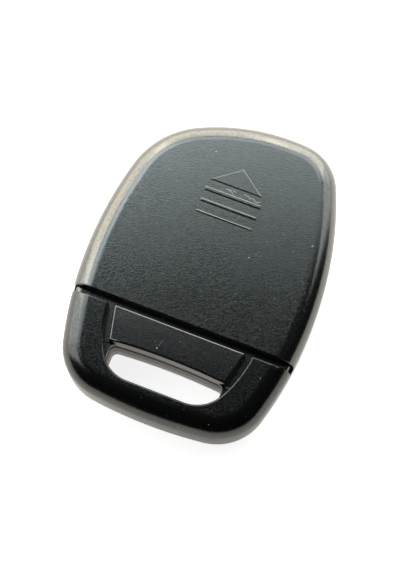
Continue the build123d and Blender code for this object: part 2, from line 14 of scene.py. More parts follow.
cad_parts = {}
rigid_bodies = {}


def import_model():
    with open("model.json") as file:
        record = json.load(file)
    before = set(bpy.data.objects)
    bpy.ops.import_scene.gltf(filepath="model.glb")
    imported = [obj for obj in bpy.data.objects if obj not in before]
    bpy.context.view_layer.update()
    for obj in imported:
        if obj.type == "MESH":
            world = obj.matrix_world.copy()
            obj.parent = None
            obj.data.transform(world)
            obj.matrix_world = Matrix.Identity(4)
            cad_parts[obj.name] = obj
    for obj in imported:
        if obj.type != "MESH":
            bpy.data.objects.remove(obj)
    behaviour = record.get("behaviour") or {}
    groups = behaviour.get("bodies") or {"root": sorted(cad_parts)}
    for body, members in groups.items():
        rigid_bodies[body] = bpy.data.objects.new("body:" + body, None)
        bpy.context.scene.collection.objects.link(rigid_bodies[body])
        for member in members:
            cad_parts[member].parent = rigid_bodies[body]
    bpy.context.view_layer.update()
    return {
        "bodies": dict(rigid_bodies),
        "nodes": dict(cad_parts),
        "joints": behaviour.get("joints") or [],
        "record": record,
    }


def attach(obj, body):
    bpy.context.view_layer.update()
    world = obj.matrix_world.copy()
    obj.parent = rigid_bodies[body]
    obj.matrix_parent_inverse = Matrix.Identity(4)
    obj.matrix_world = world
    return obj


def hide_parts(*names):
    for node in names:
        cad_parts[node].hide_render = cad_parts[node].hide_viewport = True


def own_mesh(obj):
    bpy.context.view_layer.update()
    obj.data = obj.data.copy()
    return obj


LOG = logging.getLogger("key_fob")
MM = 0.001
MERGE_DISTANCE = 0.0005 * MM
FLAT_ANGLE = math.radians(0.25)
MIX_SHARE, MIX_FIRST, MIX_SECOND, MIX_RESULT = 0, 6, 7, 2

Colour = tuple[float, float, float]
Point = tuple[float, float, float]
Span = tuple[float, float]
WHITE: Colour = (1.0, 1.0, 1.0)


class Signal:
    """A shader socket that takes part in Python arithmetic."""

    def __init__(self, kit: "NodeKit", socket: bpy.types.NodeSocket | None) -> None:
        """Keeps the socket.

        Args:
            kit: The material's nodes, to which the arithmetic adds its own.
            socket: The output socket that this signal stands for, or none after a last node.
        """
        self.kit = kit
        self.socket = socket

    def calculate(self, operation: str, *values: Any, clamp: bool = False) -> "Signal":
        """Adds one Math node.

        Args:
            operation: The Math node's operation.
            values: The operands in their order, numbers or signals.
            clamp: Whether the result is kept between 0 and 1.

        Returns:
            The node's result.
        """
        settings = {"operation": operation, "use_clamp": clamp}
        return self.kit.add("ShaderNodeMath", settings, dict(enumerate(values)))

    def __add__(self, other: Any) -> "Signal":
        """The sum."""
        return self.calculate("ADD", self, other)

    def __radd__(self, other: Any) -> "Signal":
        """The sum with a number on the left."""
        return self.calculate("ADD", other, self)

    def __sub__(self, other: Any) -> "Signal":
        """The difference."""
        return self.calculate("SUBTRACT", self, other)

    def __rsub__(self, other: Any) -> "Signal":
        """The difference from a number on the left."""
        return self.calculate("SUBTRACT", other, self)

    def __mul__(self, other: Any) -> "Signal":
        """The product."""
        return self.calculate("MULTIPLY", self, other)

    def __rmul__(self, other: Any) -> "Signal":
        """The product with a number on the left."""
        return self.calculate("MULTIPLY", other, self)

    def __truediv__(self, other: Any) -> "Signal":
        """The quotient."""
        return self.calculate("DIVIDE", self, other)

    def __rtruediv__(self, other: Any) -> "Signal":
        """The quotient with a number on top."""
        return self.calculate("DIVIDE", other, self)

    def __pow__(self, other: Any) -> "Signal":
        """The power."""
        return self.calculate("POWER", self, other)

    def __abs__(self) -> "Signal":
        """The size without its sign."""
        return self.calculate("ABSOLUTE", self)

    def rise(self, low: float, high: float) -> "Signal":
        """A smooth step from 0 at low to 1 at high, or down where low lies above high.

        Args:
            low: Where the step starts.
            high: Where the step ends.

        Returns:
            The step.
        """
        settings = {"interpolation_type": "SMOOTHSTEP"}
        inputs = {"Value": self, "From Min": low, "From Max": high}
        return self.kit.add("ShaderNodeMapRange", settings, inputs)


class NodeKit:
    """The nodes of one material or world, all made through one method."""

    def __init__(self, name: str, owner: bpy.types.ID | None = None) -> None:
        """Empties the owner's nodes, or makes an empty material.

        Args:
            name: The material's name.
            owner: A world, where its nodes are wanted and not a new material's.
        """
        self.material = owner or bpy.data.materials.new(name)
        self.material.use_nodes = True
        self.tree = self.material.node_tree
        self.tree.nodes.clear()
        self.place = self.add("ShaderNodeTexCoord", output="Object")

    def add(
        self,
        kind: str,
        settings: dict[str, Any] | None = None,
        inputs: dict[str | int, Any] | None = None,
        output: str | int = 0,
    ) -> Signal:
        """Adds a node, sets it, fills its sockets and returns one of its outputs.

        Args:
            kind: The node's type.
            settings: The node's own settings.
            inputs: Values or signals for its sockets, by name or number.
            output: The wanted output, by name or number.

        Returns:
            The output as a signal.
        """
        node = self.tree.nodes.new(kind)
        for name, value in (settings or {}).items():
            setattr(node, name, value)
        for key, value in (inputs or {}).items():
            if isinstance(value, Signal):
                self.tree.links.new(value.socket, node.inputs[key])
            else:
                node.inputs[key].default_value = value
        return Signal(self, node.outputs[output] if node.outputs else None)

    def noise(self, pitch_mm: float, detail: float = 2.0, roughness: float = 0.5) -> Signal:
        """Soft noise in the object's own space.

        Args:
            pitch_mm: The rough distance between its patches, in millimetres.
            detail: How many finer layers it has.
            roughness: How strong the finer layers are.

        Returns:
            The noise, about 0.5 in the middle.
        """
        scale = 1.0 / (pitch_mm * MM)
        inputs = {"Vector": self.place, "Scale": scale, "Detail": detail, "Roughness": roughness}
        return self.add("ShaderNodeTexNoise", {}, inputs, "Fac")

    def axis(self, name: str) -> Signal:
        """One coordinate of the place on the surface, in millimetres.

        Args:
            name: X, Y or Z.

        Returns:
            The coordinate.
        """
        return self.add("ShaderNodeSeparateXYZ", {}, {0: self.place}, name) / MM

    def mix(self, share: Signal, first: Colour, second: Colour) -> Signal:
        """Blends two colours.

        Args:
            share: 0 gives the first colour and 1 the second.
            first: A colour or a colour signal.
            second: A colour or a colour signal.

        Returns:
            The blended colour.
        """
        ends = [value if isinstance(value, Signal) else (*value, 1.0) for value in (first, second)]
        inputs = {MIX_SHARE: share, MIX_FIRST: ends[0], MIX_SECOND: ends[1]}
        return self.add("ShaderNodeMix", {"data_type": "RGBA"}, inputs, MIX_RESULT)

    def seen(self, *kinds: str) -> Signal:
        """Whether a ray of one of these kinds looks at the surface.

        Args:
            kinds: Names of the light path's outputs.

        Returns:
            1 for such a ray and 0 for any other.
        """
        total = sum(self.add("ShaderNodeLightPath", output=kind) for kind in kinds)
        return total.calculate("MINIMUM", total, 1.0)

    def relief(self, height: Signal, depth_mm: float) -> Signal:
        """A bumped normal.

        Args:
            height: The relief, from 0 to 1.
            depth_mm: How deep it goes, in millimetres.

        Returns:
            The normal.
        """
        inputs = {"Strength": 1.0, "Distance": depth_mm * MM, "Height": height}
        return self.add("ShaderNodeBump", {}, inputs)

    def surface(self, **inputs: Any) -> bpy.types.Material:
        """Adds the surface shader and the output.

        Args:
            inputs: The shader's sockets by name, with underscores for spaces.

        Returns:
            The finished material.
        """
        sockets = {name.replace("_", " "): value for name, value in inputs.items()}
        shader = self.add("ShaderNodeBsdfPrincipled", {}, sockets)
        self.add("ShaderNodeOutputMaterial", {}, {"Surface": shader})
        return self.material


@dataclass(frozen=True)
class Speck:
    """A speck of dust, a short hair or a fine scratch on the back.

    Lengths are in millimetres and the heading is in degrees from X. The core is the share of the
    radius that has the full strength.
    """

    x: float
    y: float
    radius: float = 0.1
    length: float = 0.0
    heading: float = 0.0
    strength: float = 1.0
    core: float = 0.4

    def mask(self, kit: NodeKit) -> Signal:
        """Where the speck lies.

        Args:
            kit: The material's nodes.

        Returns:
            Its strength on the speck and 0 off it.
        """
        turn = math.radians(self.heading)
        along_x, along_y = math.cos(turn), math.sin(turn)
        left, ahead = kit.axis("X") - self.x, kit.axis("Y") - self.y
        along = left * along_x + ahead * along_y
        across = ahead * along_x - left * along_y
        past_end = along.calculate("MAXIMUM", abs(along) - self.length / 2, 0.0)
        away = (across * across + past_end * past_end) ** 0.5
        return away.rise(self.radius, self.radius * self.core) * self.strength


@dataclass(frozen=True)
class MouldedPlastic:
    """Spark-eroded black plastic: fine grain, faint mottling, painted glints, specks and a painted
    reflection.

    Lengths and heights are in millimetres, and a span says where a soft edge starts and ends. The
    flats on the back keep a part of the coat that the handled rims have. With both of its heights
    at 0 there is no painted reflection on the window walls.
    """

    colour: Colour = (0.0022, 0.0027, 0.0032)
    warm_colour: Colour = (0.0038, 0.0034, 0.0031)
    patch_pitch: float = 6.0
    patch_edge: Span = (0.35, 0.7)
    # Painted highlight: the colour of the glints that stand for lit grain facets.
    painted_glint_colour: Colour = (0.13, 0.14, 0.14)
    glint_pitch: float = 0.42
    glint_share: Span = (0.95, 0.99)
    glint_edge: Span = (0.3, 0.12)
    glint_strength: float = 0.7
    # Painted reflection: a brown tint that stands for a brown table top mirrored in the window
    # walls.
    table_reflection_colour: Colour = (0.15, 0.098, 0.076)
    reflection_patches: Span = (0.1, 0.6)
    wall_roughness: float = 0.3
    reflection_above: float = 0.0
    reflection_foot: float = 0.8
    reflection_below: float = 0.0
    reflection_top: float = 0.3
    reflection_half_width: float = 11.6
    reflection_middle: float = -19.3
    reflection_half_length: float = 5.6
    reflection_side: float = 0.5
    speck_colour: Colour = (0.42, 0.44, 0.42)
    specks: tuple[Speck, ...] = ()
    roughness: float = 0.17
    ior: float = 1.85
    coat: float = 0.27
    coat_spread: float = 0.38
    coat_roughness: float = 0.2
    coat_ior: float = 1.8
    flat_level: float = 10.58
    flat_edge: float = 0.25
    flat_share: float = 0.55
    grain_pitch: float = 0.22
    grain_depth: float = 0.014
    pit_pitch: float = 0.27
    pit_edge: Span = (0.32, 0.68)
    pit_contrast: float = 0.14

    def build(self, name: str) -> bpy.types.Material:
        """Makes the material.

        Args:
            name: The material's name.

        Returns:
            The material.
        """
        kit = NodeKit(name)
        grain = kit.noise(self.grain_pitch, detail=1.0)
        patches = kit.noise(self.patch_pitch)
        painted_reflection = self.painted_reflection(kit)
        colour = kit.mix(patches.rise(*self.patch_edge), self.colour, self.warm_colour)
        # Painted highlight: bright glints laid into the base colour.
        colour = kit.mix(self.painted_glints(kit) * self.glint_strength, colour, self.painted_glint_colour)
        # Painted reflection: the window walls are tinted brown.
        colour = kit.mix(painted_reflection * patches.rise(*self.reflection_patches), colour, self.table_reflection_colour)
        if self.specks:
            marks = sum(speck.mask(kit) for speck in self.specks)
            colour = kit.mix(marks, colour, self.speck_colour)
        pits = kit.noise(self.pit_pitch, detail=1.0).rise(*self.pit_edge)
        roughness = self.roughness + (pits - 0.5) * self.pit_contrast + painted_reflection * self.wall_roughness
        handled = kit.axis("Z").rise(self.flat_level, self.flat_level - self.flat_edge)
        kept = handled * (1.0 - self.flat_share) + self.flat_share
        return kit.surface(
            Base_Color=colour, Roughness=roughness, Normal=kit.relief(grain, self.grain_depth),
            IOR=self.ior, Coat_Weight=(self.coat + pits * self.coat_spread) * kept,
            Coat_Roughness=self.coat_roughness, Coat_IOR=self.coat_ior,
        )

    def painted_glints(self, kit: NodeKit) -> Signal:
        """Painted glints: a few bright grains among many, standing for grain facets that catch the
        light.

        Args:
            kit: The material's nodes.

        Returns:
            1 on a bright grain and 0 off it.
        """
        inputs = {"Vector": kit.place, "Scale": 1.0 / (self.glint_pitch * MM)}
        away = kit.add("ShaderNodeTexVoronoi", {}, inputs, "Distance")
        draw = kit.add("ShaderNodeTexVoronoi", {}, inputs, "Color")
        chosen = kit.add("ShaderNodeSeparateColor", {}, {0: draw}, "Red").rise(*self.glint_share)
        return away.rise(*self.glint_edge) * chosen

    def painted_reflection(self, kit: NodeKit) -> Signal:
        """Painted reflection: a brown tint for a brown table top mirrored in the walls of the key
        ring window, between two heights.

        Args:
            kit: The material's nodes.

        Returns:
            1 on the tinted walls and 0 elsewhere.
        """
        level = kit.axis("Z")
        width, length = self.reflection_half_width, self.reflection_half_length
        painted_reflection = level.rise(self.reflection_below, self.reflection_below - self.reflection_top)
        painted_reflection = painted_reflection * level.rise(self.reflection_above, self.reflection_above + self.reflection_foot)
        painted_reflection = painted_reflection * abs(kit.axis("X")).rise(width, width - self.reflection_side)
        return painted_reflection * abs(kit.axis("Y") - self.reflection_middle).rise(length, length - self.reflection_side)


@dataclass(frozen=True)
class PlainPlastic:
    """Smooth or soft moulded plastic and rubber with a little mottling."""

    colour: Colour
    second_colour: Colour
    roughness: float = 0.45
    pitch: float = 0.5
    depth: float = 0.004
    roughness_spread: float = 0.2
    cloud_pitches: float = 8.0
    cloud_edge: Span = (0.35, 0.65)

    def build(self, name: str) -> bpy.types.Material:
        """Makes the material.

        Args:
            name: The material's name.

        Returns:
            The material.
        """
        kit = NodeKit(name)
        grain = kit.noise(self.pitch, detail=3.0)
        cloud = kit.noise(self.pitch * self.cloud_pitches)
        colour = kit.mix(cloud.rise(*self.cloud_edge), self.colour, self.second_colour)
        roughness = self.roughness + (grain - 0.5) * self.roughness_spread
        relief = kit.relief(grain, self.depth)
        return kit.surface(Base_Color=colour, Roughness=roughness, Normal=relief)


class Grain(Enum):
    """Which way a metal's brush marks run, as a stretch along X, Y and Z; rings have none."""

    ALONG = (1.0, 12.0, 12.0)
    ACROSS = (12.0, 1.0, 12.0)
    TURNED = (0.0, 0.0, 0.0)


@dataclass(frozen=True)
class BrushedMetal:
    """Metal sheet or turned metal with fine marks and a few stains."""

    colour: Colour
    roughness: float = 0.3
    grain: Grain = Grain.ALONG
    centre_y: float = 0.0
    pitch: float = 0.6
    depth: float = 0.003
    mark_pitches: float = 6.0
    mark_spread: float = 0.25
    stain_pitch: float = 3.0
    stain_edge: Span = (0.4, 0.75)
    stain_strength: float = 0.7
    stain_darkening: float = 0.72
    stain_spread: float = 0.12
    ring_closeness: float = 5.0
    ring_break: float = 0.15
    ring_scale: float = 1.6

    def build(self, name: str) -> bpy.types.Material:
        """Makes the material.

        Args:
            name: The material's name.

        Returns:
            The material.
        """
        kit = NodeKit(name)
        marks = self.marks(kit)
        stain = kit.noise(self.stain_pitch, detail=3.0)
        dark = tuple(channel * self.stain_darkening for channel in self.colour)
        colour = kit.mix(stain.rise(*self.stain_edge) * self.stain_strength, self.colour, dark)
        scuffs = (marks - 0.5) * self.mark_spread + (stain - 0.5) * self.stain_spread
        return kit.surface(
            Base_Color=colour, Metallic=1.0, Roughness=scuffs + self.roughness,
            Normal=kit.relief(marks, self.depth),
        )

    def marks(self, kit: NodeKit) -> Signal:
        """The brush marks, straight or in rings round the cells' axis.

        Args:
            kit: The material's nodes.

        Returns:
            The marks from 0 to 1.
        """
        if self.grain is Grain.TURNED:
            across, along = kit.axis("X"), kit.axis("Y") - self.centre_y
            radius = (across * across + along * along) ** 0.5
            sideways, onward = across * self.ring_break, along * self.ring_break
            rings = {0: radius * self.ring_closeness, 1: sideways, 2: onward}
            place, scale = kit.add("ShaderNodeCombineXYZ", {}, rings), self.ring_scale
        else:
            stretch = {"Vector": kit.place, "Scale": self.grain.value}
            place = kit.add("ShaderNodeMapping", {}, stretch)
            scale = 1.0 / (self.pitch * MM * self.mark_pitches)
        inputs = {"Vector": place, "Scale": scale, "Detail": 3.0}
        return kit.add("ShaderNodeTexNoise", {}, inputs, "Fac")


@dataclass(frozen=True)
class BoardLacquer:
    """Green lacquer over copper tracks."""

    lacquer: Colour = (0.010, 0.110, 0.045)
    over_copper: Colour = (0.025, 0.190, 0.070)
    track_pitch: float = 1.4
    track_disorder: float = 0.35
    track_edge: Span = (0.16, 0.12)
    track_height: float = 0.02
    cloud_pitch: float = 4.0
    roughness: float = 0.28
    roughness_spread: float = 0.15

    def build(self, name: str) -> bpy.types.Material:
        """Makes the material.

        Args:
            name: The material's name.

        Returns:
            The material.
        """
        kit = NodeKit(name)
        scale = 1.0 / (self.track_pitch * MM)
        inputs = {"Vector": kit.place, "Scale": scale, "Randomness": self.track_disorder}
        settings = {"feature": "DISTANCE_TO_EDGE", "distance": "EUCLIDEAN"}
        edge = kit.add("ShaderNodeTexVoronoi", settings, inputs, "Distance")
        tracks = edge.rise(*self.track_edge)
        cloud = kit.noise(self.cloud_pitch)
        colour = kit.mix(tracks, self.lacquer, self.over_copper)
        roughness = self.roughness + (cloud - 0.5) * self.roughness_spread
        relief = kit.relief(tracks, self.track_height)
        return kit.surface(Base_Color=colour, Roughness=roughness, Normal=relief)


@dataclass(frozen=True)
class CoilWire:
    """Fine enamelled copper wire wound turn by turn along X, with painted shade between the turns.
    """

    colour: Colour = (0.60, 0.22, 0.08)
    # Painted shade: the darker colour in the gaps between the turns.
    gap_shade_colour: Colour = (0.16, 0.04, 0.015)
    wire_pitch: float = 0.16
    wire_edge: Span = (0.15, 0.6)
    wire_height: float = 0.03
    metal_share: float = 0.9
    drift_pitch: float = 1.2
    roughness: float = 0.3
    roughness_spread: float = 0.2

    def build(self, name: str) -> bpy.types.Material:
        """Makes the material.

        Args:
            name: The material's name.

        Returns:
            The material.
        """
        kit = NodeKit(name)
        along = kit.axis("X") * (math.tau / self.wire_pitch)
        height = along.calculate("SINE", along) * 0.5 + 0.5
        drift = kit.noise(self.drift_pitch)
        # Painted shade: darker between the turns, where the wire's relief dips.
        colour = kit.mix(height.rise(*self.wire_edge), self.gap_shade_colour, self.colour)
        roughness = self.roughness + (drift - 0.5) * self.roughness_spread
        return kit.surface(
            Base_Color=colour, Metallic=self.metal_share, Roughness=roughness,
            Normal=kit.relief(height, self.wire_height),
        )


@dataclass(frozen=True)
class RedLens:
    """Clear red plastic with a faint frosting."""

    colour: Colour = (0.55, 0.01, 0.012)
    darkening: float = 0.6
    frost_pitch: float = 0.3
    frost_edge: Span = (0.3, 0.7)
    frost_depth: float = 0.002
    roughness: float = 0.12
    roughness_spread: float = 0.15
    clearness: float = 0.35
    coat: float = 0.4

    def build(self, name: str) -> bpy.types.Material:
        """Makes the material.

        Args:
            name: The material's name.

        Returns:
            The material.
        """
        kit = NodeKit(name)
        frost = kit.noise(self.frost_pitch)
        dark = tuple(channel * self.darkening for channel in self.colour)
        colour = kit.mix(frost.rise(*self.frost_edge), self.colour, dark)
        return kit.surface(
            Base_Color=colour, Roughness=self.roughness + frost * self.roughness_spread,
            Normal=kit.relief(frost, self.frost_depth),
            Transmission_Weight=self.clearness, Coat_Weight=self.coat,
        )


@dataclass
class Skin:
    """A moulded or metal piece in its final shape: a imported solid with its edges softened.

    Lengths and heights are in millimetres. Edges that lie above back_from get back_edge, and the
    others get edge. On a raised piece inner edges and edges that climb to the back stay sharp.
    The least flat is an area in square millimetres, and the stub length counts roundings.
    """

    node: str
    body: str
    slot: str
    edge: float = 0.0
    back_edge: float = 0.0
    back_from: float = 10.0
    back_segments: int = 3
    raised: bool = False
    flat_rim: float = 0.02
    least_flat: float = 1.0
    stub_length: float = 1.2
    sharp_angle: float = 28.0
    segments: int = 2

    def build(self, frame: dict[str, Any], material: bpy.types.Material) -> bpy.types.Object:
        """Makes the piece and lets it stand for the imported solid.

        Args:
            frame: What the frame's loader returned.
            material: The piece's material.

        Returns:
            The piece.
        """
        shape = bmesh.new()
        shape.from_mesh(frame["nodes"][self.node].data)
        bmesh.ops.remove_doubles(shape, verts=shape.verts, dist=MERGE_DISTANCE)
        bmesh.ops.dissolve_limit(
            shape, angle_limit=FLAT_ANGLE, verts=shape.verts, edges=shape.edges,
        )
        if self.back_edge:
            self.soften(shape, self.back_edge, back=True)
        if self.edge:
            self.soften(shape, self.edge, back=False)
        if self.raised:
            self.hold_flats(shape)
        for face in shape.faces:
            face.smooth = True
        angle = math.radians(self.sharp_angle)
        for edge in shape.edges:
            edge.smooth = len(edge.link_faces) == 2 and edge.calc_face_angle() < angle
        mesh = bpy.data.meshes.new(f"{self.node}_skin")
        shape.to_mesh(mesh)
        shape.free()
        mesh.materials.append(material)
        piece = bpy.data.objects.new(f"{self.node}_skin", mesh)
        bpy.context.scene.collection.objects.link(piece)
        weights = piece.modifiers.new("even_normals", "WEIGHTED_NORMAL")
        weights.keep_sharp = True
        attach(piece, self.body)
        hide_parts(self.node)
        LOG.info("%s: %d faces", piece.name, len(mesh.polygons))
        return piece

    def soften(self, shape: bmesh.types.BMesh, offset: float, back: bool) -> None:
        """Rounds the sharp edges of the mesh, either those on the back or the others.

        Args:
            shape: The mesh, changed in place.
            offset: How far the rounding reaches from the edge, in millimetres.
            back: Whether the edges on the back are meant.
        """
        angle = math.radians(self.sharp_angle)
        level = self.back_from * MM if self.back_edge else math.inf
        sharp = []
        for edge in shape.edges:
            if len(edge.link_faces) != 2 or edge.calc_face_angle() <= angle:
                continue
            if self.raised and not edge.is_convex:
                continue
            heights = [corner.co.z for corner in edge.verts]
            on_back = min(heights) > level
            beside_back = self.raised and max(heights) > level
            wanted = on_back if back else not (on_back or beside_back)
            if wanted and not self.is_stub(edge, offset):
                sharp.append(edge)
        bmesh.ops.bevel(
            shape, geom=sharp, offset=offset * MM, offset_type="OFFSET",
            segments=self.back_segments if back else self.segments, profile=0.5,
            affect="EDGES", clamp_overlap=False, material=-1,
        )

    def is_stub(self, edge: bmesh.types.BMEdge, offset: float) -> bool:
        """Whether an edge is too short to round where an outer edge turns into an inner one.

        Args:
            edge: The edge.
            offset: How far the rounding would reach, in millimetres.

        Returns:
            True for an edge that stays sharp.
        """
        if edge.calc_length() > offset * MM * self.stub_length:
            return False
        angle = math.radians(self.sharp_angle)
        for corner in edge.verts:
            nearby = [other for other in corner.link_edges if len(other.link_faces) == 2]
            turns = {other.is_convex for other in nearby if other.calc_face_angle() > angle}
            if len(turns) > 1:
                return True
        return False

    def hold_flats(self, shape: bmesh.types.BMesh) -> None:
        """Lays a narrow rim inside each raised flat, so that the flat shades as one.

        Args:
            shape: The mesh, changed in place.
        """
        level, least = self.back_from * MM, self.least_flat * MM * MM
        flats = [
            face for face in shape.faces
            if min(corner.co.z for corner in face.verts) > level and face.calc_area() > least
        ]
        bmesh.ops.inset_individual(
            shape, faces=flats, thickness=self.flat_rim * MM, use_even_offset=True,
        )


@dataclass
class CaseShells:
    """The four black shells that are seen from outside, with the specks and scratches on them and a
    painted reflection on the window walls.
    """

    edge: float = 0.12
    cover_edge: float = 0.2
    arrow_edge: float = 0.17
    arrow_from: float = 10.61
    crisp_edge: float = 0.34
    reflection_below: float = 8.0
    front_level: float = 2.8
    # Painted reflection: a darker brown tint for the front shell's window walls.
    side_reflection_colour: Colour = (0.045, 0.034, 0.028)
    cover_specks: tuple[Speck, ...] = (
        Speck(-5.5, 19.25, 0.13), Speck(15.3, 9.45, 0.14), Speck(6.2, 3.85, 0.09),
    )
    scratches: tuple[Speck, ...] = (
        Speck(-1.1, 13.68, 0.08, 0.9, 6.0, 0.75), Speck(-0.55, 13.45, 0.08, 0.9, -24.0, 0.75),
        Speck(-0.1, 13.75, 0.08, 0.5, -15.0, 0.6), Speck(1.9, 13.8, 0.08, 0.7, -12.0, 0.7),
        Speck(2.55, 13.6, 0.08, 0.6, -48.0, 0.7), Speck(3.05, 13.62, 0.08, 0.5, 12.0, 0.7),
        Speck(3.6, 13.42, 0.08, 0.8, -30.0, 0.75), Speck(4.2, 13.35, 0.08, 0.6, 18.0, 0.6),
    )
    tongue_specks: tuple[Speck, ...] = (
        Speck(-2.3, -15.85, 0.19, strength=0.8), Speck(-2.05, -14.95, 0.07, 1.0, 76.0, 0.25),
    )
    bow_specks: tuple[Speck, ...] = (
        Speck(11.2, -15.85, 0.12), Speck(15.1, -14.45, 0.09), Speck(5.4, -26.35, 0.16),
        Speck(10.0, -24.45, 0.1),
    )

    def build(self, frame: dict[str, Any]) -> None:
        """Builds the shells.

        Args:
            frame: What the frame's loader returned.
        """
        finishes = {
            "front_shell": MouldedPlastic(
                table_reflection_colour=self.side_reflection_colour, reflection_above=self.front_level,
                reflection_below=self.reflection_below,
            ),
            "rear_frame": MouldedPlastic(
                coat=0.26, coat_spread=0.22, pit_contrast=0.08, reflection_below=self.reflection_below,
                specks=self.tongue_specks,
            ),
            "key_ring_bow": MouldedPlastic(
                coat=0.1, coat_spread=0.33, pit_contrast=0.11, ior=1.65, specks=self.bow_specks,
            ),
            "battery_cover": MouldedPlastic(specks=self.cover_specks + self.scratches),
        }
        skins = {
            "front_shell": Skin("front_shell", "case", "case_black", self.edge),
            "rear_frame": Skin("rear_frame", "case", "case_black", self.edge, self.crisp_edge),
            "key_ring_bow": Skin("key_ring_bow", "case", "case_black", self.edge, self.crisp_edge),
            "battery_cover": Skin(
                "battery_cover", "cover", "case_black", self.cover_edge, self.arrow_edge,
                self.arrow_from, back_segments=2, raised=True,
            ),
        }
        for node, skin in skins.items():
            skin.build(frame, finishes[node].build(f"{node}_black"))


@dataclass
class Button:
    """The button and its rubber pad."""

    edge: float = 0.08
    pad_anchor_level: float = 5.6
    pad_keep: float = 0.9

    def build(self, frame: dict[str, Any]) -> None:
        """Builds the button cap and its rubber pad.

        Args:
            frame: What the frame's loader returned.
        """
        cap = MouldedPlastic(roughness=0.5, grain_pitch=0.16).build("button_black")
        Skin("button_cap", "button", "button_black", self.edge).build(frame, cap)
        rubber = PlainPlastic((0.11, 0.115, 0.12), (0.14, 0.14, 0.145), roughness=0.75)
        pad = Skin("button_pad", "case", "rubber_grey").build(frame, rubber.build("rubber_grey"))
        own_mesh(pad)


@dataclass
class BatteryBay:
    """The two coin cells and their contacts."""

    cell_centre_y: float = 5.5
    contact_edge: float = 0.03

    def build(self, frame: dict[str, Any]) -> None:
        """Builds the cells and contacts.

        Args:
            frame: What the frame's loader returned.
        """
        turned = BrushedMetal((0.62, 0.61, 0.58), 0.24, Grain.TURNED, self.cell_centre_y)
        steel = turned.build("cell_steel")
        for node in ("battery_lower", "battery_upper"):
            Skin(node, "case", "cell_steel").build(frame, steel)
        contact = BrushedMetal((0.66, 0.63, 0.56), 0.3, Grain.ACROSS).build("contact_steel")
        for node in ("negative_contact", "positive_contact"):
            Skin(node, "case", "contact_steel", self.contact_edge).build(frame, contact)


@dataclass
class BoardParts:
    """The circuit board with what is soldered to it, and the lens over its lamp."""

    lens_edge: float = 0.05

    def build(self, frame: dict[str, Any]) -> None:
        """Dresses the board and its parts.

        Args:
            frame: What the frame's loader returned.
        """
        chip = PlainPlastic((0.02, 0.02, 0.021), (0.03, 0.03, 0.03), 0.5, 0.3).build("chip_black")
        switch = PlainPlastic((0.02, 0.02, 0.02), (0.028, 0.028, 0.03), 0.4)
        plunger = PlainPlastic((0.72, 0.70, 0.66), (0.66, 0.64, 0.6), 0.4)
        ferrite = PlainPlastic((0.09, 0.088, 0.085), (0.12, 0.12, 0.115), 0.6, 0.25)
        ceramic = PlainPlastic((0.42, 0.30, 0.18), (0.36, 0.25, 0.15), 0.5, 0.3)
        materials = {
            "circuit_board": BoardLacquer().build("board_green"),
            "switch_body": switch.build("switch_black"),
            "switch_plunger": plunger.build("plunger_white"),
            "transponder_chip": chip,
            "microcontroller": chip,
            "coil_core": ferrite.build("ferrite_grey"),
            "chip_parts": ceramic.build("chip_tan"),
        }
        for node, material in materials.items():
            dress(frame, node, material)
        can = BrushedMetal((0.7, 0.7, 0.7), 0.22)
        lamp, lens = RedLens((0.6, 0.03, 0.03)), RedLens()
        Skin("coil_winding", "case", "copper").build(frame, CoilWire().build("copper"))
        Skin("resonator", "case", "can_steel").build(frame, can.build("can_steel"))
        Skin("signal_led", "case", "led_red").build(frame, lamp.build("led_red"))
        Skin("led_lens", "case", "lens_red", self.lens_edge).build(frame, lens.build("lens_red"))


@dataclass
class Fasteners:
    """The case screws."""

    edge: float = 0.03

    def build(self, frame: dict[str, Any]) -> None:
        """Builds the screws.

        Args:
            frame: What the frame's loader returned.
        """
        zinc = BrushedMetal((0.58, 0.6, 0.62), 0.32).build("screw_zinc")
        Skin("case_screws", "case", "screw_zinc", self.edge).build(frame, zinc)


def dress(frame: dict[str, Any], node: str, material: bpy.types.Material) -> None:
    """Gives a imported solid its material.

    Args:
        frame: What the frame's loader returned.
        node: The solid's name.
        material: The material.
    """
    solid = frame["nodes"][node]
    solid.data.materials.clear()
    solid.data.materials.append(material)
    LOG.info("%s: dressed", node)


@dataclass
class Softbox:
    """A flat lamp above the fob, given as an eye at the fob sees it.

    Angles are in degrees: the azimuth from X, the elevation from the floor, and the spread and
    rise across the lamp. The distance is in millimetres.
    """

    name: str
    azimuth: float
    elevation: float
    spread: float
    rise: float
    radiance: float
    colour: Colour
    distance: float = 400.0
    power_factor: float = 4.0

    def build(self, target: Vector) -> None:
        """Hangs the lamp.

        Args:
            target: The point that the lamp faces.
        """
        lamp = bpy.data.lights.new(self.name, "AREA")
        lamp.shape = "RECTANGLE"
        lamp.size = 2 * self.distance * MM * math.tan(math.radians(self.spread / 2))
        lamp.size_y = 2 * self.distance * MM * math.tan(math.radians(self.rise / 2))
        lamp.energy = self.radiance * self.power_factor * lamp.size * lamp.size_y
        lamp.color = self.colour
        stand = bpy.data.objects.new(self.name, lamp)
        azimuth, elevation = math.radians(self.azimuth), math.radians(self.elevation)
        level, height = math.cos(elevation), math.sin(elevation)
        outward = Vector((math.cos(azimuth) * level, math.sin(azimuth) * level, height))
        stand.location = target + outward * self.distance * MM
        stand.rotation_euler = (-outward).to_track_quat("-Z", "Y").to_euler()
        bpy.context.scene.collection.objects.link(stand)


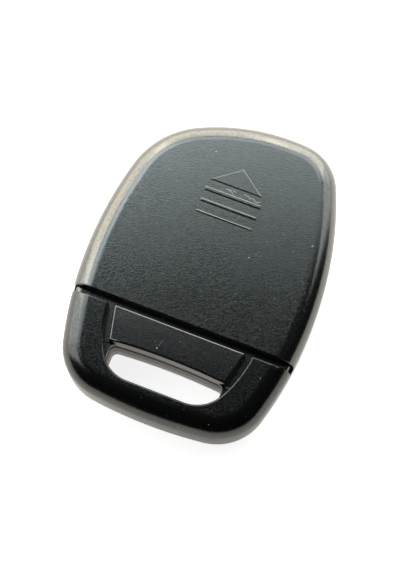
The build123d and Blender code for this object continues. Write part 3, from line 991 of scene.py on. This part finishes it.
@dataclass
class Studio:
    """The pale floor, the soft lamps, the room and the camera, with lengths in millimetres."""

    camera_place: Point = (22.42, -60.17, 232.41)
    camera_back: Point = (0.0958, -0.2466, 0.9644)
    camera_up: Point = (-0.3621, 0.9321, 0.0)
    image_height: float = 570.0
    focal_pixels: float = 1403.0
    sensor_height: float = 36.0
    camera_reach: Span = (10.0, 10000.0)
    lamp_target: Point = (0.0, 0.0, 5.0)
    floor_size: float = 1600.0
    floor_level: float = -0.02
    floor_tints: tuple[Colour, Colour] = ((0.82, 0.81, 0.79), (0.84, 0.83, 0.82))
    floor_tint_pitch: float = 60.0
    floor_glow: float = 0.85
    mirrored_glow: Span = (0.28, 1.0)
    mirrored_reach: Span = (-40.0, 60.0)
    mirrored_colour: Colour = (1.0, 0.94, 0.87)
    room_colour: Colour = (0.008, 0.0085, 0.009)
    sky_colour: Colour = (0.84, 0.98, 0.98)
    sky_heading: Point = (-0.43, 0.90, 0.0)
    sky_edge: Span = (0.22, 0.42)
    lamps: list[Softbox] = field(default_factory=lambda: [
        Softbox("window_head", 80.0, 22.5, 34.0, 43.0, 2.85, (1.0, 0.95, 0.79)),
        Softbox("window_corner", 116.0, 23.0, 38.0, 44.0, 2.8, (1.0, 0.92, 0.74)),
        Softbox("window_left", 152.0, 24.0, 36.0, 46.0, 2.9, (1.0, 0.89, 0.72)),
        Softbox("wall_right", 48.0, 26.0, 28.0, 46.0, 1.4, (0.94, 1.0, 0.96)),
        Softbox("wall_left", 188.0, 29.0, 36.0, 52.0, 1.6, (0.97, 1.0, 0.93)),
        Softbox("sky_high", 108.0, 58.0, 50.0, 16.0, 1.88, (0.86, 0.98, 1.0)),
        Softbox("sky_left", 153.0, 60.0, 34.0, 16.0, 1.48, (0.86, 0.98, 1.0)),
        Softbox("sky_top", 108.0, 69.5, 70.0, 7.0, 0.51, (0.9, 1.0, 1.0)),
    ])

    def build(self) -> None:
        """Builds the studio."""
        target = Vector(self.lamp_target) * MM
        for lamp in self.lamps:
            lamp.build(target)
        self.build_floor()
        self.build_room()
        self.build_camera()
        bpy.context.scene.view_settings.view_transform = "Standard"

    def build_floor(self) -> None:
        """Lays the floor: white to the eye off the shadow, brightest past the head in mirrors."""
        shape = bmesh.new()
        bmesh.ops.create_grid(shape, x_segments=1, y_segments=1, size=self.floor_size * MM / 2)
        bmesh.ops.translate(shape, verts=shape.verts, vec=(0.0, 0.0, self.floor_level * MM))
        mesh = bpy.data.meshes.new("floor")
        shape.to_mesh(mesh)
        shape.free()
        floor = bpy.data.objects.new("floor", mesh)
        bpy.context.scene.collection.objects.link(floor)
        kit = NodeKit("floor_white")
        tint = kit.mix(kit.noise(self.floor_tint_pitch), *self.floor_tints)
        matte = kit.add("ShaderNodeBsdfDiffuse", {}, {"Color": tint})
        eye = kit.seen("Is Camera Ray")
        ahead = kit.axis("X") * self.sky_heading[0] + kit.axis("Y") * self.sky_heading[1]
        near, far = self.mirrored_glow
        reflected = ahead.rise(*self.mirrored_reach) * (far - near) + near
        mirrored = kit.seen("Is Glossy Ray", "Is Transmission Ray")
        strength = eye * self.floor_glow + mirrored * reflected
        tone = kit.mix(eye, self.mirrored_colour, WHITE)
        glow = kit.add("ShaderNodeEmission", {}, {"Color": tone, "Strength": strength})
        both = kit.add("ShaderNodeAddShader", {}, {0: matte, 1: glow})
        kit.add("ShaderNodeOutputMaterial", {}, {"Surface": both})
        mesh.materials.append(kit.material)

    def build_room(self) -> None:
        """Fills the room: dim on the fob, white to the eye, pale behind the head in reflections."""
        world = bpy.data.worlds.new("room")
        kit = NodeKit("room", world)
        turned = {0: kit.add("ShaderNodeTexCoord", output="Generated"), 1: self.sky_heading}
        towards = kit.add("ShaderNodeVectorMath", {"operation": "DOT_PRODUCT"}, turned, "Value")
        mirrored = kit.seen("Is Glossy Ray", "Is Transmission Ray") * towards.rise(*self.sky_edge)
        colour = kit.mix(mirrored, self.room_colour, self.sky_colour)
        colour = kit.mix(kit.seen("Is Camera Ray"), colour, WHITE)
        background = kit.add("ShaderNodeBackground", {}, {"Color": colour, "Strength": 1.0})
        kit.add("ShaderNodeOutputWorld", {}, {"Surface": background})
        bpy.context.scene.world = world

    def build_camera(self) -> None:
        """Sets the camera where the photograph was taken."""
        camera = bpy.data.cameras.new("photo_camera")
        camera.sensor_fit = "VERTICAL"
        camera.sensor_height = self.sensor_height
        camera.lens = self.focal_pixels / self.image_height * camera.sensor_height
        camera.clip_start, camera.clip_end = (reach * MM for reach in self.camera_reach)
        stand = bpy.data.objects.new("photo_camera", camera)
        back = Vector(self.camera_back).normalized()
        right = Vector(self.camera_up).cross(back).normalized()
        up = back.cross(right)
        turned = Matrix((right, up, back)).transposed().to_4x4()
        stand.matrix_world = Matrix.Translation(Vector(self.camera_place) * MM) @ turned
        bpy.context.scene.collection.objects.link(stand)
        bpy.context.scene.camera = stand


def main() -> None:
    """Builds the fob and its studio in order."""
    logging.basicConfig(level=logging.INFO, format="%(name)s: %(message)s")
    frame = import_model()
    for group in (CaseShells(), Button(), BatteryBay(), BoardParts(), Fasteners()):
        group.build(frame)
        LOG.info("%s done", type(group).__name__)
    Studio().build()


if __name__ == "__main__":
    main()
